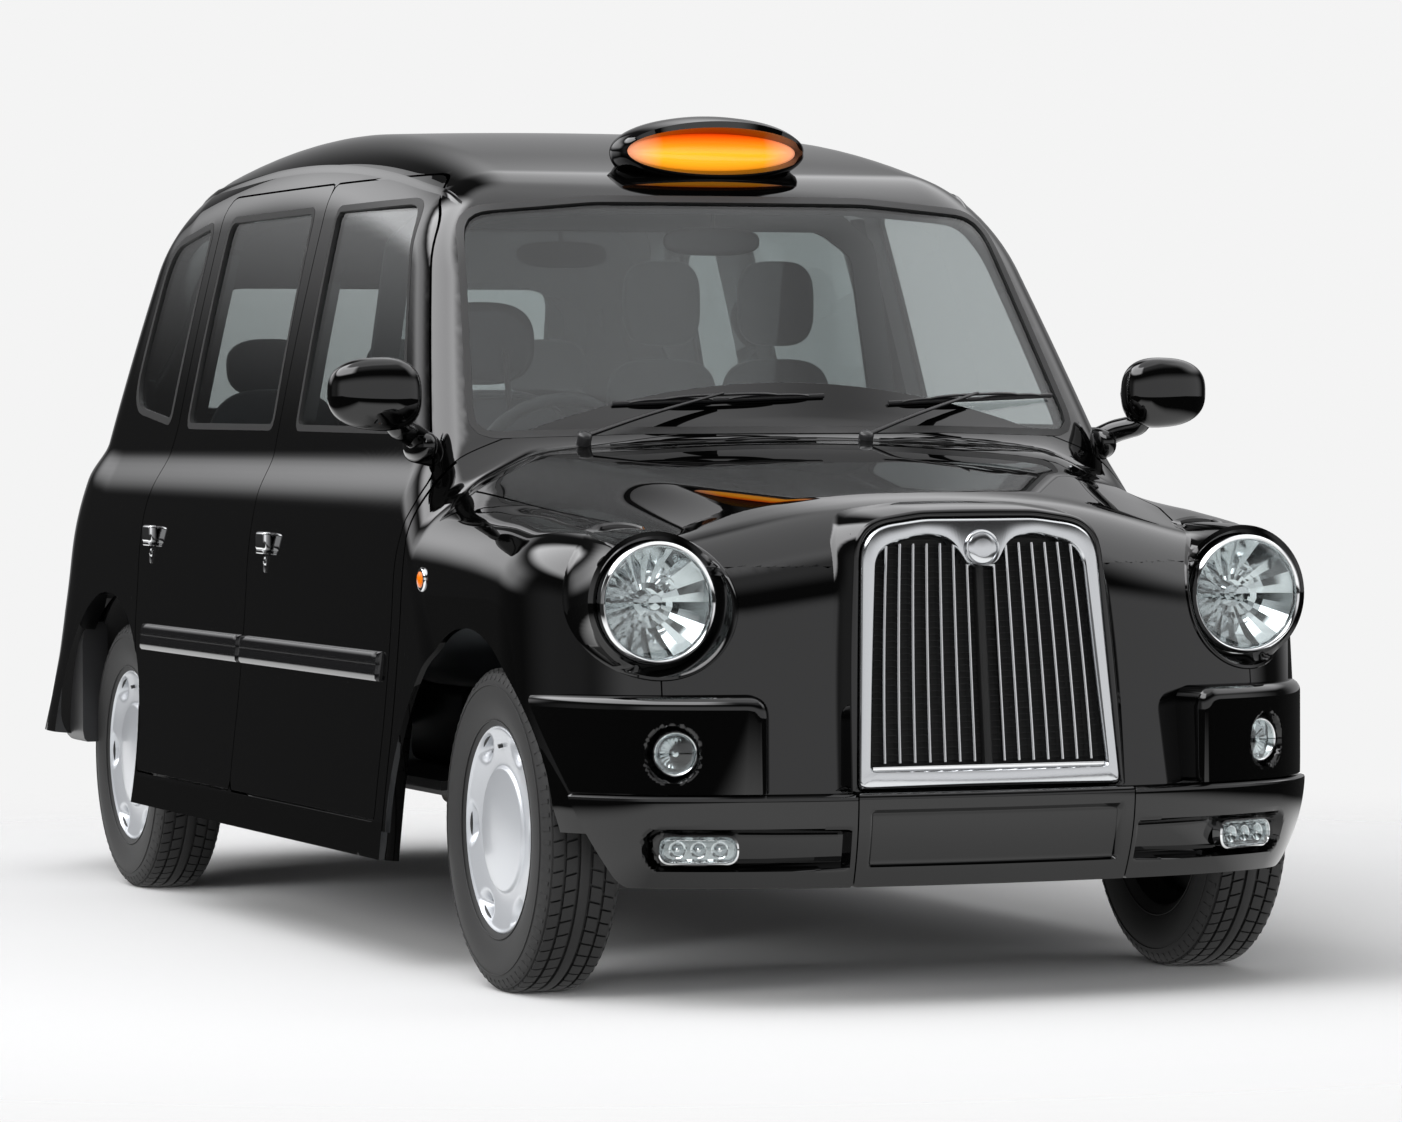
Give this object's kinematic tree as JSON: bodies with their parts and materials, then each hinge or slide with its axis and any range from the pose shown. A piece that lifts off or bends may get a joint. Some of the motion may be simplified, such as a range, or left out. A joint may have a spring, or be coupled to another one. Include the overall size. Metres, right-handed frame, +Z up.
{
  "type": "taxi cab",
  "caption": "Black hackney-style taxi cab with upright grille, round lamps, oval roof sign, four opening doors, bonnet, boot lid and steered front wheels.",
  "frame": {"origin": "on the ground under the middle of the cab's length and width", "axes": "+Z up, the nose points to -Y, +X is the cab's left side"},
  "size_m": [2.04, 4.58, 1.8699],
  "materials": {
    "black_paint": "gloss",
    "black_plastic": "satin",
    "chrome": "polished",
    "trim": "satin",
    "glass": "clear",
    "lamp_body": "polished",
    "lamp_plastic": "clear",
    "red_lamp": "clear",
    "amber_lens": "clear",
    "frame_steel": "matte",
    "cast_iron": "rough",
    "exhaust_steel": "dull",
    "silver_trim": "satin",
    "tyre": "matte",
    "dash_plastic": "matte",
    "seat_fabric": "woven"
  },
  "bodies": {
    "body": {"roof_panel": "black_paint", "scuttle": "black_paint", "rear_panel": "black_paint", "side_frame_left": "black_paint", "side_frame_right": "black_paint", "front_panel": "black_paint", "front_wing_left": "black_paint", "front_wing_right": "black_paint", "front_bumper": "black_paint", "rear_bumper": "black_paint", "roof_sign": "black_plastic", "wipers": "black_plastic", "grille_back": "black_plastic", "inner_wings": "black_plastic", "grille_surround": "chrome", "grille_bars": "chrome", "fixed_windows": "glass", "headlamp_lenses": "glass", "headlamps": "lamp_body", "front_lamps": "lamp_plastic", "tail_lamps": "red_lamp", "roof_sign_lens": "amber_lens", "chassis_frame": "frame_steel", "front_suspension": "frame_steel", "rear_axle": "frame_steel", "floor_pan": "frame_steel", "engine_block": "cast_iron", "exhaust": "exhaust_steel", "dashboard": "dash_plastic", "steering_wheel": "dash_plastic", "partition": "dash_plastic", "driver_seat": "seat_fabric", "passenger_seats": "seat_fabric"},
    "knuckle_left": {"knuckle_left": "frame_steel"},
    "knuckle_right": {"knuckle_right": "frame_steel"},
    "bonnet": {"bonnet": "black_paint"},
    "boot_lid": {"boot_lid": "black_paint", "boot_trim": "chrome"},
    "wheel_front_left": {"wheel_front_left": "silver_trim", "tyre_front_left": "tyre"},
    "wheel_rear_left": {"wheel_rear_left": "silver_trim", "tyre_rear_left": "tyre"},
    "door_front_left": {"front_door_left": "black_paint", "front_door_glass_left": "glass", "front_door_trim_left": "trim", "mirror_left": "black_plastic"},
    "door_rear_left": {"rear_door_left": "black_paint", "rear_door_glass_left": "glass", "rear_door_trim_left": "trim"},
    "wheel_front_right": {"wheel_front_right": "silver_trim", "tyre_front_right": "tyre"},
    "wheel_rear_right": {"wheel_rear_right": "silver_trim", "tyre_rear_right": "tyre"},
    "door_front_right": {"front_door_right": "black_paint", "front_door_glass_right": "glass", "front_door_trim_right": "trim", "mirror_right": "black_plastic"},
    "door_rear_right": {"rear_door_right": "black_paint", "rear_door_glass_right": "glass", "rear_door_trim_right": "trim"}
  },
  "joints": [
    {"name": "steer_left", "type": "hinge", "parent": "body", "child": "knuckle_left", "pos_m": [0.682, -1.59, 0.332], "axis": [0, 0, 1], "range_deg": [-38, 38]},
    {"name": "spin_front_left", "type": "hinge", "parent": "knuckle_left", "child": "wheel_front_left", "pos_m": [0.74, -1.59, 0.332], "axis": [1, 0, 0], "continuous": true},
    {"name": "spin_rear_left", "type": "hinge", "parent": "body", "child": "wheel_rear_left", "pos_m": [0.74, 1.296, 0.332], "axis": [1, 0, 0], "continuous": true},
    {"name": "door_front_left_hinge", "type": "hinge", "parent": "body", "child": "door_front_left", "pos_m": [0.872, -1.06, 0.9], "axis": [0, 0, -1], "range_deg": [0, 65]},
    {"name": "door_rear_left_hinge", "type": "hinge", "parent": "body", "child": "door_rear_left", "pos_m": [0.872, 0.055, 0.9], "axis": [0, 0, -1], "range_deg": [0, 85]},
    {"name": "steer_right", "type": "hinge", "parent": "body", "child": "knuckle_right", "pos_m": [-0.682, -1.59, 0.332], "axis": [0, 0, 1], "range_deg": [-38, 38]},
    {"name": "spin_front_right", "type": "hinge", "parent": "knuckle_right", "child": "wheel_front_right", "pos_m": [-0.74, -1.59, 0.332], "axis": [1, 0, 0], "continuous": true},
    {"name": "spin_rear_right", "type": "hinge", "parent": "body", "child": "wheel_rear_right", "pos_m": [-0.74, 1.296, 0.332], "axis": [1, 0, 0], "continuous": true},
    {"name": "door_front_right_hinge", "type": "hinge", "parent": "body", "child": "door_front_right", "pos_m": [-0.872, -1.06, 0.9], "axis": [0, 0, 1], "range_deg": [0, 65]},
    {"name": "door_rear_right_hinge", "type": "hinge", "parent": "body", "child": "door_rear_right", "pos_m": [-0.872, 0.055, 0.9], "axis": [0, 0, 1], "range_deg": [0, 85]},
    {"name": "bonnet_hinge", "type": "hinge", "parent": "body", "child": "bonnet", "pos_m": [0, -1.224, 1.135], "axis": [-1, 0, 0], "range_deg": [0, 50]},
    {"name": "boot_hinge", "type": "hinge", "parent": "body", "child": "boot_lid", "pos_m": [0, 2.115, 1.05], "axis": [1, 0, 0], "range_deg": [0, 75]}
  ],
  "couplings": [
    {"joint": "steer_right", "follows": "steer_left", "ratio": 1}
  ]
}
